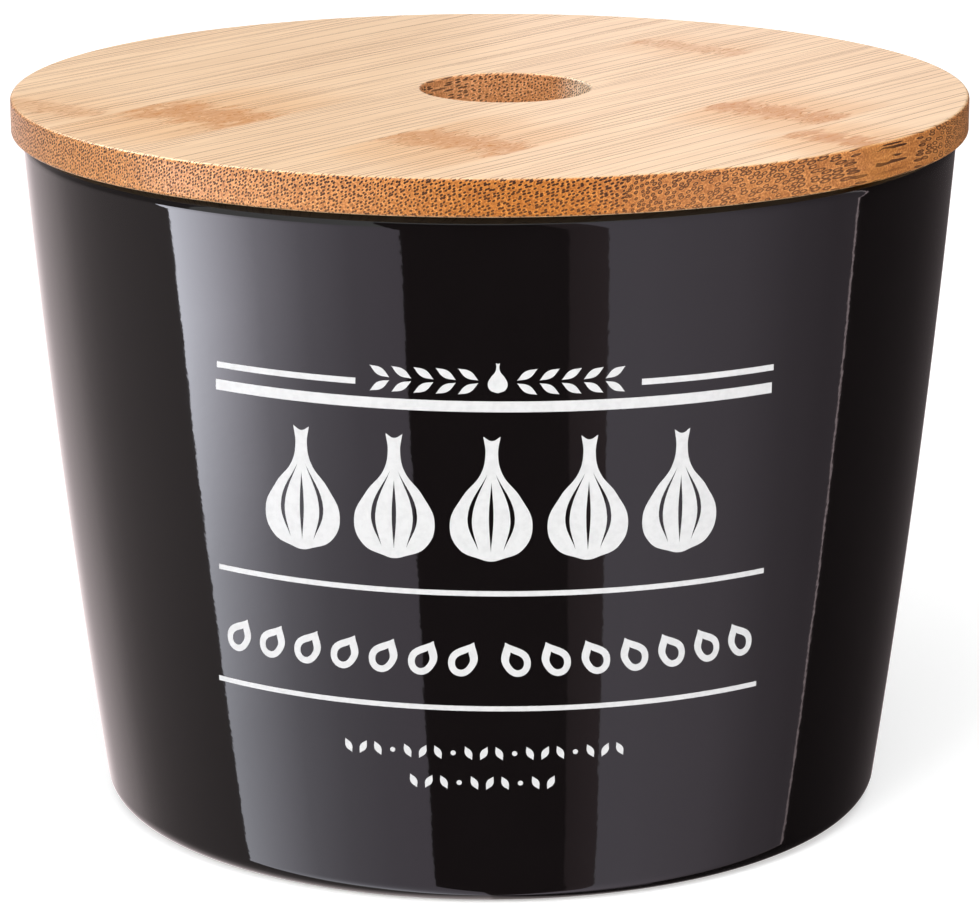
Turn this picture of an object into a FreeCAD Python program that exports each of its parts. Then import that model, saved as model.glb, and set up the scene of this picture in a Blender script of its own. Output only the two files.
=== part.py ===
"""A garlic keeper: a tapered ceramic pot with a flat bamboo lid.

The pot stands on a foot ring at z = 0, with its axis on Z and its front towards -Y.
The lid is a board glued on a smaller plug disc, which carries a silicone ring in a groove.
It rests on the pot's rim, and a round hole through both discs is its finger hole and air hole.
All sizes are in millimetres.
"""

import FreeCAD, Part

import os

import Sketcher

SIZES = {
    # Pot
    "pot_height": 100.5,  # resting plane to the top of the rim
    "pot_mouth_radius": 68.4,  # outer radius of the wall at the rim
    "pot_base_radius": 57.8,  # outer radius of the wall where it would meet the resting plane
    "wall_bow": 0.8,  # how far the wall bows out, half way up, from a straight line
    "pot_wall": 5.0,  # measured level, from outside to inside
    "pot_floor": 5.0,  # thickness of the floor
    "base_edge_round": 3.2,  # outer lower edge
    "floor_edge_round": 8.0,  # corner between the floor and the wall inside
    "rim_round": 2.0,  # both edges of the rim
    "foot_ring_width": 10.8,  # from the foot of the wall in to the recess
    "foot_ring_height": 2.0,  # the recess inside it
    "foot_ring_round": 0.8,  # inner edge of the foot ring
    # Lid
    "lid_overhang": 1.6,  # how far the board stands out past the pot's mouth
    "board_thickness": 5.3,
    "board_edge_round": 0.5,
    "plug_depth": 7.0,  # how far the plug drops into the mouth
    "plug_gap": 1.8,  # between the plug's lower edge and the pot's wall
    "plug_edge_chamfer": 0.8,
    "hole_radius": 12.5,
    "hole_offset": 2.3,  # the hole is bored this far off the lid's centre, towards +X
    "hole_edge_round": 0.4,
    # Silicone ring
    "groove_height": 3.0,
    "groove_depth": 1.6,
    "seal_gap": 0.2,  # between a fin's tip and the pot's wall
    "fin_root": 1.1,  # height of a fin where it leaves the ring
    "fin_tip": 0.4,  # height of a fin at its tip
}

# The pot's outer wall at a height z, as an expression of the sheet's cells.
WALL_SLOPE = "(sizes.pot_mouth_radius - sizes.pot_base_radius) / sizes.pot_height"
# The radius of the shallow arc that the wall follows from its foot to its mouth.
WALL_ARC = (
    "(sizes.pot_height^2 + (sizes.pot_mouth_radius - sizes.pot_base_radius)^2)"
    " / (8 * sizes.wall_bow) + sizes.wall_bow / 2"
)
FIND_TOLERANCE = 0.01  # how near an edge has to be to the circle that names it
ROUND_SHARE = 0.45  # the most that one round takes of the wall that it is on


def inner_radius(height):
    """The expression for the radius of the pot's inner wall at a height."""
    share = f"({height}) / sizes.pot_height"
    bow = f"4 * sizes.wall_bow * {share} * (1 - {share})"
    return f"sizes.pot_base_radius + {WALL_SLOPE} * ({height}) + {bow} - sizes.pot_wall"


def limited(size, wall):
    """The expression for a round that leaves some of its wall, however thin that gets."""
    return f"min({size}; {ROUND_SHARE} * ({wall}))"


def make_sheet(doc):
    """The driving dimensions, one named cell each."""
    sheet = doc.addObject("Spreadsheet::Sheet", "sizes")
    for row, (name, value) in enumerate(SIZES.items(), start=1):
        sheet.set(f"A{row}", name)
        sheet.set(f"B{row}", str(value))
        sheet.setAlias(f"B{row}", name)
    doc.recompute()


def new_body(doc, label, height=None):
    """An empty body. A height is the expression that its own z = 0 stands at."""
    body = doc.addObject("PartDesign::Body", label)
    body.Label = label
    if height:
        body.setExpression("Placement.Base.z", height)
    return body


def plane_of(body, role):
    """One of the body's own origin planes, by its role."""
    return next(f for f in body.Origin.OriginFeatures if f.Role == role)


def new_sketch(body, name, role):
    sketch = body.newObject("Sketcher::SketchObject", name)
    sketch.AttachmentSupport = [(plane_of(body, role), "")]
    sketch.MapMode = "FlatFace"
    sketch.Visibility = False
    return sketch


def bind(sketch, constraint, expression):
    """Adds a dimension and binds it to the sheet."""
    index = sketch.addConstraint(constraint)
    sketch.setExpression(f"Constraints[{index}]", expression)


def number(sketch, expression):
    """What an expression of the sheet's cells is worth now, for a sketch's first guess."""
    return float(sketch.evalExpression(expression))


def bowed_side(start, end, radius):
    """An arc up from one point to another that curves outwards, away from the axis."""
    chord = end - start
    outwards = FreeCAD.Vector(chord.y, -chord.x, 0).normalize()
    depth = radius - (radius**2 - (chord.Length / 2) ** 2) ** 0.5
    return Part.Arc(start, (start + end) / 2 + outwards * depth, end)


def section(body, name, corners, wall=None):
    """A closed outline on the XZ plane. Each corner is a pair of expressions, for radius and height.

    wall is the number of the side, if any, that is the pot's wall and bows outwards.
    """
    sketch = new_sketch(body, name, "XZ_Plane")
    points = [
        FreeCAD.Vector(number(sketch, radius), number(sketch, height), 0)
        for radius, height in corners
    ]
    count = len(points)
    for i in range(count):
        start, end = points[i], points[(i + 1) % count]
        if i == wall:
            radius = number(sketch, WALL_ARC)
            sketch.addGeometry(bowed_side(start, end, radius), False)
            bind(sketch, Sketcher.Constraint("Radius", i, radius), WALL_ARC)
        else:
            sketch.addGeometry(Part.LineSegment(start, end), False)
    for i in range(count):
        sketch.addConstraint(Sketcher.Constraint("Coincident", i, 2, (i + 1) % count, 1))
    for i, (radius, height) in enumerate(corners):
        bind(sketch, Sketcher.Constraint("DistanceX", -1, 1, i, 1, points[i].x), radius)
        bind(sketch, Sketcher.Constraint("DistanceY", -1, 1, i, 1, points[i].y), height)
    return sketch


def circle(body, name, radius, centre=("0", "0")):
    """A circle on the XY plane, with expressions for its radius and its centre."""
    sketch = new_sketch(body, name, "XY_Plane")
    middle = FreeCAD.Vector(number(sketch, centre[0]), number(sketch, centre[1]), 0)
    size = number(sketch, radius)
    sketch.addGeometry(Part.Circle(middle, FreeCAD.Vector(0, 0, 1), size), False)
    bind(sketch, Sketcher.Constraint("Radius", 0, size), radius)
    bind(sketch, Sketcher.Constraint("DistanceX", -1, 1, 0, 3, middle.x), centre[0])
    bind(sketch, Sketcher.Constraint("DistanceY", -1, 1, 0, 3, middle.y), centre[1])
    return sketch


def turn(body, kind, name, sketch):
    """A full revolution or groove of a section about Z."""
    feature = body.newObject(f"PartDesign::{kind}", name)
    feature.Profile = sketch
    feature.ReferenceAxis = (sketch, ["V_Axis"])
    feature.Angle = 360
    return feature


def pad(body, name, sketch, length, downwards=False):
    feature = body.newObject("PartDesign::Pad", name)
    feature.Profile = sketch
    feature.Reversed = downwards
    feature.setExpression("Length", length)
    return feature


def bore(body, name, sketch):
    """A hole through the whole body, both ways from the sketch's plane."""
    feature = body.newObject("PartDesign::Pocket", name)
    feature.Profile = sketch
    feature.Type = "ThroughAll"
    feature.Midplane = True
    return feature


def round_edges(body, kind, name, size, circles):
    """Fillets or chamfers the edges that are these circles: pairs of expressions, for radius and height."""
    body.Document.recompute()
    base = body.Tip
    wanted = [(number(base, radius), number(base, height)) for radius, height in circles]
    names = [
        f"Edge{i}"
        for i, edge in enumerate(base.Shape.Edges, start=1)
        if isinstance(edge.Curve, Part.Circle)
        and any(
            abs(edge.Curve.Radius - radius) < FIND_TOLERANCE
            and abs(edge.Curve.Center.z - base.Placement.Base.z - height) < FIND_TOLERANCE
            for radius, height in wanted
        )
    ]
    if len(names) != len(wanted):
        raise ValueError(f"{name}: {len(wanted)} edges wanted, {len(names)} found")
    feature = body.newObject(f"PartDesign::{kind}", name)
    feature.Base = (base, names)
    feature.setExpression("Radius" if kind == "Fillet" else "Size", size)
    return feature


def make_pot(doc):
    """The vessel: a turned, slightly bowed cone, hollowed from above, with a recess inside its foot."""
    body = new_body(doc, "pot")
    floor_top = "sizes.foot_ring_height + sizes.pot_floor"
    recess_radius = "sizes.pot_base_radius - sizes.foot_ring_width"
    outside = section(
        body,
        "outside",
        [
            ("0", "0"),
            ("sizes.pot_base_radius", "0"),
            ("sizes.pot_mouth_radius", "sizes.pot_height"),
            ("0", "sizes.pot_height"),
        ],
        wall=1,
    )
    turn(body, "Revolution", "vessel", outside)
    inside = section(
        body,
        "inside",
        [
            ("0", floor_top),
            (inner_radius(floor_top), floor_top),
            (inner_radius("sizes.pot_height"), "sizes.pot_height"),
            ("0", "sizes.pot_height"),
        ],
        wall=1,
    )
    turn(body, "Groove", "hollow", inside)
    recess = section(
        body,
        "recess",
        [
            ("0", "0"),
            (recess_radius, "0"),
            (recess_radius, "sizes.foot_ring_height"),
            ("0", "sizes.foot_ring_height"),
        ],
    )
    turn(body, "Groove", "foot_recess", recess)
    base_edge = [("sizes.pot_base_radius", "0")]
    floor_edge = [(inner_radius(floor_top), floor_top)]
    foot_edge = [(recess_radius, "0")]
    rim_edges = [
        ("sizes.pot_mouth_radius", "sizes.pot_height"),
        (inner_radius("sizes.pot_height"), "sizes.pot_height"),
    ]
    base_round = limited("sizes.base_edge_round", "sizes.foot_ring_width")
    foot_round = limited("sizes.foot_ring_round", "sizes.foot_ring_height")
    rim_round = limited("sizes.rim_round", "sizes.pot_wall")
    round_edges(body, "Fillet", "base_round", base_round, base_edge)
    round_edges(body, "Fillet", "floor_round", "sizes.floor_edge_round", floor_edge)
    round_edges(body, "Fillet", "foot_round", foot_round, foot_edge)
    round_edges(body, "Fillet", "rim", rim_round, rim_edges)
    return body


LID_RADIUS = "sizes.pot_mouth_radius + sizes.lid_overhang"
HOLE_CENTRE = ("sizes.hole_offset", "0")


def make_lid_board(doc):
    """The disc that covers the mouth and overhangs the rim. Its underside is on the rim."""
    body = new_body(doc, "lid_board", "sizes.pot_height")
    pad(body, "disc", circle(body, "outline", LID_RADIUS), "sizes.board_thickness")
    bore(body, "finger_hole", circle(body, "hole", "sizes.hole_radius", HOLE_CENTRE))
    rims = [(LID_RADIUS, "0"), (LID_RADIUS, "sizes.board_thickness")]
    rim_round = limited("sizes.board_edge_round", "sizes.board_thickness")
    round_edges(body, "Fillet", "eased_rims", rim_round, rims)
    mouth = [("sizes.hole_radius", "sizes.board_thickness")]
    mouth_round = limited("sizes.hole_edge_round", "sizes.board_thickness")
    round_edges(body, "Fillet", "eased_hole", mouth_round, mouth)
    return body


# The plug's own z = 0 is its upper face, glued to the board's underside.
# The groove is half way down the plug, with a land above it and a land below it.
PLUG_RADIUS = inner_radius("sizes.pot_height - sizes.plug_depth") + " - sizes.plug_gap"
PLUG_LAND = "(sizes.plug_depth - sizes.groove_height) / 2"
GROOVE_TOP = f"-{PLUG_LAND}"
GROOVE_BOTTOM = f"-{PLUG_LAND} - sizes.groove_height"
GROOVE_RADIUS = f"{PLUG_RADIUS} - sizes.groove_depth"


def make_lid_plug(doc):
    """The disc that drops into the mouth, with a groove round it for the silicone ring."""
    body = new_body(doc, "lid_plug", "sizes.pot_height")
    pad(body, "disc", circle(body, "outline", PLUG_RADIUS), "sizes.plug_depth", downwards=True)
    bore(body, "finger_hole", circle(body, "hole", "sizes.hole_radius", HOLE_CENTRE))
    groove = section(
        body,
        "groove_outline",
        [
            (GROOVE_RADIUS, GROOVE_BOTTOM),
            ("sizes.pot_mouth_radius", GROOVE_BOTTOM),
            ("sizes.pot_mouth_radius", GROOVE_TOP),
            (GROOVE_RADIUS, GROOVE_TOP),
        ],
    )
    turn(body, "Groove", "seal_groove", groove)
    lower_edge = [(PLUG_RADIUS, "-sizes.plug_depth")]
    lead_in = limited("sizes.plug_edge_chamfer", PLUG_LAND)
    round_edges(body, "Chamfer", "lead_in", lead_in, lower_edge)
    mouth = [("sizes.hole_radius", "-sizes.plug_depth")]
    mouth_round = limited("sizes.hole_edge_round", "sizes.plug_depth")
    round_edges(body, "Fillet", "eased_hole", mouth_round, mouth)
    return body


def fin(tip_top):
    """The corners of one fin of the ring, from its lower root to its upper root."""
    lower_tip = f"{tip_top} - sizes.fin_tip"
    reach = inner_radius(f"sizes.pot_height + ({lower_tip})") + " - sizes.seal_gap"
    return [
        (PLUG_RADIUS, f"{tip_top} - sizes.fin_root"),
        (reach, lower_tip),
        (reach, tip_top),
        (PLUG_RADIUS, f"{tip_top} - sizes.fin_tip"),
    ]


def make_seal_ring(doc):
    """The silicone ring: a square root that fills the groove, and two fins that point at the pot's wall."""
    body = new_body(doc, "seal_ring", "sizes.pot_height")
    upper_fin = GROOVE_TOP
    lower_fin = f"{GROOVE_BOTTOM} + sizes.fin_root"
    outline = section(
        body,
        "outline",
        [
            (GROOVE_RADIUS, GROOVE_BOTTOM),
            *fin(lower_fin),
            *fin(upper_fin),
            (PLUG_RADIUS, GROOVE_TOP),
            (GROOVE_RADIUS, GROOVE_TOP),
        ],
    )
    turn(body, "Revolution", "ring", outline)
    return body


def check(doc, bodies):
    """Stops if anything in the document failed, or a body is not one closed solid."""
    for item in doc.Objects:
        if "Invalid" in item.State or "Error" in item.State:
            raise RuntimeError(f"{item.Name} ({item.Label}): {item.State}")
    for body in bodies:
        shape = body.Shape
        if shape.isNull() or not shape.isValid() or len(shape.Solids) != 1:
            raise RuntimeError(f"{body.Label} is not one valid solid")
        low, high = shape.BoundBox.ZMin, shape.BoundBox.ZMax
        print(f"{body.Label}: {shape.Volume / 1000:.2f} cm3, z {low:.2f} to {high:.2f} mm")


def main():
    doc = FreeCAD.newDocument("garlic_keeper")
    make_sheet(doc)
    bodies = [make_pot(doc), make_lid_board(doc), make_lid_plug(doc), make_seal_ring(doc)]
    doc.recompute()
    check(doc, bodies)
    os.makedirs("parts", exist_ok=True)
    for body in bodies:
        body.Shape.exportStep(os.path.join("parts", f"{body.Label}.step"))


main()
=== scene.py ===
# %% [markdown]
# # A garlic keeper: glazed stoneware pot, bamboo lid
#
# The keeper is a round pot that widens a little towards its mouth, glazed black inside and out,
# with a white print on its front. A bamboo lid with a finger hole lies on the rim. Under the
# lid's board sits a smaller bamboo plug, which goes into the mouth and carries a soft silicone
# ring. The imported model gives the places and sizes. This lesson makes a finer copy of each piece
# around it, then its finishes, and then the light and the camera.

import math

import bmesh
import bpy
from mathutils import Matrix, Vector


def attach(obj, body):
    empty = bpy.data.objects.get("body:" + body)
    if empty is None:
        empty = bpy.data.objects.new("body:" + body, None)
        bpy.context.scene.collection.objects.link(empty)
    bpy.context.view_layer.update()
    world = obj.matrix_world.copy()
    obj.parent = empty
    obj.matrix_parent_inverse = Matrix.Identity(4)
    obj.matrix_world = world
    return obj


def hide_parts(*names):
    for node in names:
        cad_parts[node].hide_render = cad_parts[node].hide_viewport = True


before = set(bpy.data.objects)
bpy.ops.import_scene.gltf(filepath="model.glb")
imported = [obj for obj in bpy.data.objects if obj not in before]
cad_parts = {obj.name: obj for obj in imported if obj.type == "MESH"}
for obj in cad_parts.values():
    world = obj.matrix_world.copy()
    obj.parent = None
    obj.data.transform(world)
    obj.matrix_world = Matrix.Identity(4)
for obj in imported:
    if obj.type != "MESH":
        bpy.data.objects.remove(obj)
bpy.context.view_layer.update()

# %% [markdown]
# ## Sizes
#
# A potter and a turner would write these on a drawing, so they stay in millimetres here, and each
# finished mesh is made a thousand times smaller at the end. Heights are measured from the table.
# The wall of the pot is a cone that bows out a little half way up, as a cast pot does when it
# dries and is fired, so its outer radius at any height is one short formula.

# %% Sizes of the pot, in millimetres
MM = 0.001
POT_HEIGHT = 100.5
MOUTH_RADIUS = 68.4
BASE_RADIUS = 57.8
WALL_BOW = 0.8
WALL = 5.0
INSIDE_FLOOR = 7.0
FOOT_RECESS_RADIUS = 47.0
FOOT_HEIGHT = 2.0
FOOT_ROUND = 0.8
BASE_ROUND = 3.2
RIM_ROUND = 2.0
FLOOR_ROUND = 8.0
WALL_SLOPE = (MOUTH_RADIUS - BASE_RADIUS) / POT_HEIGHT


def wall_radius(height):
    """The pot's outer radius at a height."""
    share = height / POT_HEIGHT
    return BASE_RADIUS + WALL_SLOPE * height + 4.0 * WALL_BOW * share * (1.0 - share)


print("the wall leans out by", round(math.degrees(math.atan(WALL_SLOPE)), 2), "degrees")

# %% Sizes of the lid, in millimetres
BOARD_RADIUS = 70.0
BOARD_LOW = 100.5
BOARD_HIGH = 105.8
BOARD_ROUND = 0.5
HOLE_RADIUS = 12.5
HOLE_ROUND = 0.4
HOLE_ASIDE = 2.3
PLUG_LOW = 93.5
PLUG_GAP = 1.8
PLUG_CHAMFER = 0.8
PLUG_RADIUS = wall_radius(PLUG_LOW) - WALL - PLUG_GAP
GROOVE_LOW = 95.5
GROOVE_HIGH = 98.5
GROOVE_DEPTH = 1.6
GROOVE_RADIUS = PLUG_RADIUS - GROOVE_DEPTH
print("the board is", BOARD_HIGH - BOARD_LOW, "mm thick, the plug", BOARD_LOW - PLUG_LOW, "mm")

# %% [markdown]
# ## How the round pieces are made
#
# Everything here was thrown or turned, so each piece is one section spun about the upright axis,
# as on a wheel or a lathe. The section has only its sharp corners. After the spin, each corner
# has become a ring of edges, and a bevel rounds that ring with the radius that the real edge has.
# That keeps the rounds true circles, and is easier to change than a section drawn with all its
# arcs. A bevel is measured along the faces, so a round of radius r starts r * tan(half the turn)
# from the corner. The large faces keep their own direction in the shading through a Weighted
# Normal modifier. A corner that has no round, such as where the hole meets the underside, is
# marked sharp. If it weren't, the shading would blend the wall into the underside, and the wall
# of the hole would look dark.

# %% A lathe for closed sections
ROUND_STEPS = 256
CENTRE = (0.0, 0.0, 0.0)
SAME_POINT = 1e-5


def spin_section(corners):
    """A new bmesh: the section's (radius, height) corners, spun once about the Z axis."""
    mesh = bmesh.new()
    points = [mesh.verts.new((radius, 0.0, height)) for radius, height in corners]
    pairs = list(zip(points, points[1:]))
    if corners[0][0] > 0.0:
        pairs.append((points[-1], points[0]))
    lines = [mesh.edges.new(pair) for pair in pairs]
    bmesh.ops.spin(
        mesh,
        geom=points + lines,
        cent=CENTRE,
        axis=(0.0, 0.0, 1.0),
        dvec=(0.0, 0.0, 0.0),
        angle=math.tau,
        steps=ROUND_STEPS,
        use_merge=True,
    )
    bmesh.ops.remove_doubles(mesh, verts=mesh.verts, dist=SAME_POINT)
    bmesh.ops.recalc_face_normals(mesh, faces=mesh.faces)
    return mesh


print("every round piece is turned in", ROUND_STEPS, "steps")

# %% Rounding one ring of edges
ON_CIRCLE = 1e-3


def ring_of_edges(mesh, radius, height, aside=0.0):
    """The edges that lie on one circle about the upright line at X = aside."""

    def on_circle(vert):
        reach = math.hypot(vert.co.x - aside, vert.co.y)
        return abs(reach - radius) < ON_CIRCLE and abs(vert.co.z - height) < ON_CIRCLE

    return [edge for edge in mesh.edges if all(on_circle(vert) for vert in edge.verts)]


def round_ring(mesh, radius, height, fillet, segments, aside=0.0):
    """Rounds one ring of edges to the fillet's radius."""
    ring = ring_of_edges(mesh, radius, height, aside)
    turn = ring[0].calc_face_angle()
    bmesh.ops.bevel(
        mesh,
        geom=ring,
        offset=fillet * math.tan(turn / 2.0),
        offset_type="OFFSET",
        segments=segments,
        profile=0.5,
        affect="EDGES",
        material=-1,
    )
    print("rounded the ring at radius", round(radius, 1), "height", round(height, 1))


# %% From a bmesh to an object
def new_object(name, data):
    """An object that holds this mesh, lamp or lens, linked into the scene."""
    item = bpy.data.objects.new(name, data)
    bpy.context.collection.objects.link(item)
    return item


def mesh_object(name, mesh):
    """An object made from a bmesh, which is used up."""
    data = bpy.data.meshes.new(name)
    mesh.to_mesh(data)
    mesh.free()
    return new_object(name, data)


# %% From a bmesh to a finished piece
SHARP_TURN = math.radians(60.0)


def finish_piece(name, mesh, body, replaced=(), smooth=True):
    """Turns a bmesh in millimetres into a piece in metres that moves with its body."""
    bmesh.ops.recalc_face_normals(mesh, faces=mesh.faces)
    bmesh.ops.scale(mesh, verts=mesh.verts, vec=(MM, MM, MM))
    volume = mesh.calc_volume() * 1e6
    loose = sum(1 for edge in mesh.edges if not edge.is_manifold)
    for edge in mesh.edges:
        edge.smooth = edge.calc_face_angle(math.pi) < SHARP_TURN
    piece = mesh_object(name, mesh)
    faces = len(piece.data.polygons)
    piece.data.polygons.foreach_set("use_smooth", [smooth] * faces)
    if smooth:
        weighted = piece.modifiers.new("flat_faces_stay_flat", "WEIGHTED_NORMAL")
        weighted.mode = "FACE_AREA"
        weighted.weight = 100
        weighted.keep_sharp = True
    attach(piece, body)
    if replaced:
        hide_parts(*replaced)
    print(name, "faces", faces, "open edges", loose, "volume", round(volume, 2), "cm3")
    return piece


# %% [markdown]
# ## The pot
#
# The pot stands on a low foot ring, has walls about 5 mm thick, and a rim rounded on both sides
# so that glaze stays on it. The inside meets its floor in a wide round, as a thrown pot does.
# It could be a cylinder that is scaled and hollowed, but one spun section gives the outside, the
# inside and the foot as one closed skin. The wall is spun straight. Its upright edges are then
# cut into short pieces, and each new ring is moved outwards by the wall's bow, before any corner
# is rounded.

# %% Spin the pot with straight walls
pot_mesh = spin_section(
    [
        (0.0, FOOT_HEIGHT),
        (FOOT_RECESS_RADIUS, FOOT_HEIGHT),
        (FOOT_RECESS_RADIUS, 0.0),
        (BASE_RADIUS, 0.0),
        (MOUTH_RADIUS, POT_HEIGHT),
        (MOUTH_RADIUS - WALL, POT_HEIGHT),
        (wall_radius(INSIDE_FLOOR) - WALL, INSIDE_FLOOR),
        (0.0, INSIDE_FLOOR),
    ]
)
print("the straight pot has", len(pot_mesh.faces), "faces")

# %% Bow the wall
WALL_CUTS = 15


def runs_up_the_wall(edge):
    """Whether an edge spans most of the pot's height."""
    return abs(edge.verts[0].co.z - edge.verts[1].co.z) > POT_HEIGHT / 2.0


upright_edges = [edge for edge in pot_mesh.edges if runs_up_the_wall(edge)]
cut = bmesh.ops.subdivide_edges(
    pot_mesh, edges=upright_edges, cuts=WALL_CUTS, use_grid_fill=False
)
bowed = {item for item in cut["geom_inner"] if isinstance(item, bmesh.types.BMVert)}
for vert in bowed:
    reach = math.hypot(vert.co.x, vert.co.y)
    outside = reach > wall_radius(vert.co.z) - WALL / 2.0
    wanted = wall_radius(vert.co.z) - (0.0 if outside else WALL)
    vert.co.x *= wanted / reach
    vert.co.y *= wanted / reach
print("bowed", len(bowed), "points of the wall")

# %% Round the pot's edges
floor_radius = wall_radius(INSIDE_FLOOR) - WALL
for radius, height, fillet, segments in (
    (FOOT_RECESS_RADIUS, 0.0, FOOT_ROUND, 4),
    (BASE_RADIUS, 0.0, BASE_ROUND, 10),
    (MOUTH_RADIUS, POT_HEIGHT, RIM_ROUND, 8),
    (MOUTH_RADIUS - WALL, POT_HEIGHT, RIM_ROUND, 8),
    (floor_radius, INSIDE_FLOOR, FLOOR_ROUND, 12),
):
    round_ring(pot_mesh, radius, height, fillet, segments)
pot = finish_piece("glazed_pot", pot_mesh, "pot", ["pot"])

# %% [markdown]
# ## The lid's two boards
#
# The lid is two layers of bamboo board glued together, both turned round and drilled for a
# finger. The hole isn't quite in the middle.
# A Boolean could drill it, but that leaves long slivers of faces round the hole. Instead, a
# washer is spun with its hole in the middle, and then the hole's edges alone are moved aside,
# which keeps the top and bottom flat and the hole round.


# %% A washer with its hole moved aside
def turned_board(corners):
    """A spun washer whose hole is moved aside by the lid's offset."""
    mesh = spin_section(corners)
    hole = [
        vert for vert in mesh.verts
        if math.hypot(vert.co.x, vert.co.y) < HOLE_RADIUS + 0.01
    ]
    bmesh.ops.translate(mesh, verts=hole, vec=(HOLE_ASIDE, 0.0, 0.0))
    print("moved", len(hole), "points of the hole aside by", HOLE_ASIDE, "mm")
    return mesh


# %% The top board
board_mesh = turned_board(
    [
        (HOLE_RADIUS, BOARD_LOW),
        (BOARD_RADIUS, BOARD_LOW),
        (BOARD_RADIUS, BOARD_HIGH),
        (HOLE_RADIUS, BOARD_HIGH),
    ]
)
round_ring(board_mesh, BOARD_RADIUS, BOARD_LOW, BOARD_ROUND, 4)
round_ring(board_mesh, BOARD_RADIUS, BOARD_HIGH, BOARD_ROUND, 4)
round_ring(board_mesh, HOLE_RADIUS, BOARD_HIGH, HOLE_ROUND, 4, aside=HOLE_ASIDE)
board = finish_piece("lid_top_board", board_mesh, "lid", ["lid_board"])

# %% The plug under it, with the groove for the ring
plug_mesh = turned_board(
    [
        (HOLE_RADIUS, PLUG_LOW),
        (PLUG_RADIUS, PLUG_LOW),
        (PLUG_RADIUS, GROOVE_LOW),
        (GROOVE_RADIUS, GROOVE_LOW),
        (GROOVE_RADIUS, GROOVE_HIGH),
        (PLUG_RADIUS, GROOVE_HIGH),
        (PLUG_RADIUS, BOARD_LOW),
        (HOLE_RADIUS, BOARD_LOW),
    ]
)
round_ring(plug_mesh, PLUG_RADIUS, PLUG_LOW, PLUG_CHAMFER, 1)
round_ring(plug_mesh, HOLE_RADIUS, PLUG_LOW, HOLE_ROUND, 4, aside=HOLE_ASIDE)
plug = finish_piece("lid_lower_plug", plug_mesh, "lid", ["lid_plug"])

# %% [markdown]
# ## The silicone ring
#
# The ring is a moulded band that fills the groove in the plug. Two thin fins lean up and outwards
# from it, and stop just short of the pot's wall. The fins' tips are rounded by a small bevel,
# because soft rubber never comes out of its mould with a knife edge.

# %% The section of one fin
FIN_ROOT = 1.1
FIN_TIP = 0.4
FIN_GAP = 0.2
FIN_ROUND = 0.12
FIN_TOPS = (GROOVE_LOW + FIN_ROOT, GROOVE_HIGH)


def fin_reach(tip_top):
    """The radius of a fin's tip."""
    return wall_radius(tip_top - FIN_TIP) - WALL - FIN_GAP


def fin_corners(tip_top):
    """One fin of the ring's section, from its lower root to its upper root."""
    reach = fin_reach(tip_top)
    return [
        (PLUG_RADIUS, tip_top - FIN_ROOT),
        (reach, tip_top - FIN_TIP),
        (reach, tip_top),
        (PLUG_RADIUS, tip_top - FIN_TIP),
    ]


print("the fins reach", [round(fin_reach(top) - PLUG_RADIUS, 2) for top in FIN_TOPS], "mm out")

# %% The ring with its two fins
ring_mesh = spin_section(
    [
        (GROOVE_RADIUS, GROOVE_LOW),
        *(corner for top in FIN_TOPS for corner in fin_corners(top)),
        (PLUG_RADIUS, GROOVE_HIGH),
        (GROOVE_RADIUS, GROOVE_HIGH),
    ]
)
for top in FIN_TOPS:
    round_ring(ring_mesh, fin_reach(top), top, FIN_ROUND, 3)
    round_ring(ring_mesh, fin_reach(top), top - FIN_TIP, FIN_ROUND, 3)
seal = finish_piece("silicone_ring", ring_mesh, "lid", ["seal_ring"])

# %% [markdown]
# ## The print on the front
#
# The print is a fired transfer: a thin white film on the glaze. It could be a mask in the glaze's
# material, but as a mesh it keeps a crisp edge from any distance, and catches the light at its
# rim as real enamel does.
# It is drawn flat first, in millimetres across and up, as closed Bezier outlines, which Blender
# fills and cuts holes in by itself. The drawing is a plain kitchen ornament of rules, garlic
# bulbs, cloves and leaves. The flat mesh is then turned by a little over half a degree, because
# transfers are laid on by hand, cut into narrow upright strips so that it can bend, given its
# thickness, and wrapped round the cone.

# %% Outlines of leaves and strokes
SHARP = "VECTOR"
SOFT = "AUTO"


def leaf(start, end, width):
    """A pointed leaf from start to end, widest half way. Also a tapering stroke."""
    ahead = Vector(end) - Vector(start)
    side = Vector((-ahead.y, ahead.x)).normalized() * width / 2.0
    middle = Vector(start) + ahead * 0.5
    return [(*start, SHARP), (*(middle - side), SOFT), (*end, SHARP), (*(middle + side), SOFT)]


def curved_stroke(start, middle, end, width):
    """A line from start to end that bows through the middle and tapers to both ends."""
    ahead = (Vector(end) - Vector(start)).normalized()
    side = Vector((-ahead.y, ahead.x)) * width / 2.0
    return [
        (*start, SHARP),
        (*(Vector(middle) - side), SOFT),
        (*end, SHARP),
        (*(Vector(middle) + side), SOFT),
    ]


def round_dot(across, up, radius):
    """A round dot."""
    return [
        (across + radius, up, SOFT),
        (across, up + radius, SOFT),
        (across - radius, up, SOFT),
        (across, up - radius, SOFT),
    ]


print("a leaf is drawn with", len(leaf((0.0, 0.0), (1.0, 1.0), 0.5)), "points")


# %% Mirroring and moving an outline
def mirrored(points):
    """The same outline on the other side of the upright middle line."""
    return [(-x, y, corner) for x, y, corner in reversed(points)]


def moved(points, across, up, size=1.0, turn=0.0):
    """The same outline, made larger or smaller, turned and moved."""
    cos_turn = math.cos(turn)
    sin_turn = math.sin(turn)
    return [
        (
            across + size * (x * cos_turn - y * sin_turn),
            up + size * (x * sin_turn + y * cos_turn),
            corner,
        )
        for x, y, corner in points
    ]


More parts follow.
